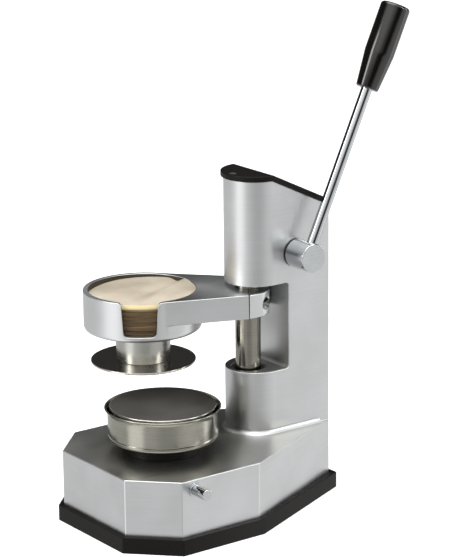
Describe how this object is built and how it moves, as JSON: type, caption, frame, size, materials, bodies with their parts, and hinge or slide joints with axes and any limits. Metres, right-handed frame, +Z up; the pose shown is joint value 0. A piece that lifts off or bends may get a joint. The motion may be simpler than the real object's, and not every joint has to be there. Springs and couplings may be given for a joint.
{
  "type": "hand patty press",
  "caption": "Lever-operated hand press for round patties: cast base and column, swinging press head with paper holder, and a raised mould with ejector disc.",
  "frame": {"origin": "on the table plane, on the axis of the mould", "axes": "+Z up, -Y towards the front facet and the operator, +Y towards the column, +X towards the lever hub"},
  "size_m": [0.218, 0.3306, 0.4666],
  "materials": {
    "aluminium_cast": "satin, brushed and polished casting",
    "black_plastic": "satin moulded",
    "steel": "machined",
    "bronze": "turned",
    "stainless": "polished sheet",
    "foot_dark": "dark satin",
    "spring_steel": "drawn wire",
    "chrome": "polished",
    "shaft_steel": "ground and polished",
    "aluminium_turned": "turned",
    "plate_polished": "polished to a mirror",
    "nonstick": "matt non-stick coating",
    "grip_black": "gloss",
    "paper": "waxed paper"
  },
  "bodies": {
    "base": {"body_casting": "aluminium_cast", "base_tray": "black_plastic", "tray_screws": "steel", "column_cover": "black_plastic", "cover_screws": "steel", "lower_bush": "bronze", "upper_bush": "bronze", "top_bush": "bronze", "axle_bush_left": "bronze", "axle_bush_right": "bronze", "axle_end_plug": "black_plastic", "mould_bowl": "stainless", "mould_foot": "foot_dark", "ejector_bush": "bronze", "ejector_guide": "steel", "ejector_spring": "spring_steel", "return_spring": "spring_steel", "spring_plug": "steel", "plunger_sleeve": "chrome", "plunger_spring": "spring_steel"},
    "carriage": {"press_shaft": "shaft_steel", "spring_seat": "steel"},
    "head": {"press_arm": "aluminium_cast", "arm_clamp_cap": "aluminium_cast", "clamp_screws": "steel", "plate_neck": "aluminium_turned", "press_plate": "plate_polished", "plate_screw": "steel", "paper_discs": "paper"},
    "lever": {"lever_axle": "steel", "drive_pinion": "steel", "pinion_key": "steel", "axle_circlip": "steel", "hub_washer": "black_plastic", "lever_hub": "chrome", "hub_set_screw": "steel", "lever_rod": "chrome", "lever_grip": "grip_black"},
    "ejector": {"ejector_disc": "nonstick", "ejector_stem": "steel", "ejector_clip": "steel"},
    "plunger": {"release_plunger": "chrome", "plunger_clip": "steel"}
  },
  "joints": [
    {"name": "head_slide", "type": "slide", "parent": "base", "child": "carriage", "axis": [0, 0, -1], "range_m": [0, 0.0254], "stiffness_N_per_m": 700, "springref_m": -0.05, "deforming": ["return_spring"]},
    {"name": "head_swing", "type": "hinge", "parent": "carriage", "child": "head", "pos_m": [0, 0.0983, 0.195], "axis": [0, 0, 1], "range_deg": [0, 68]},
    {"name": "lever_turn", "type": "hinge", "parent": "base", "child": "lever", "pos_m": [0.03, 0.1323, 0.239], "axis": [1, 0, 0], "range_deg": [0, 60.7]},
    {"name": "ejector_slide", "type": "slide", "parent": "base", "child": "ejector", "axis": [0, 0, -1], "range_m": [0, 0.026], "stiffness_N_per_m": 300, "springref_m": -0.03, "deforming": ["ejector_spring"]},
    {"name": "plunger_pull", "type": "slide", "parent": "base", "child": "plunger", "axis": [1, 0, 0], "range_m": [0, 0.0065], "stiffness_N_per_m": 1000, "springref_m": -0.005, "deforming": ["plunger_spring"]}
  ],
  "couplings": [
    {"joint": "lever_turn", "follows": "head_slide", "rad_per_m": 41.667}
  ]
}
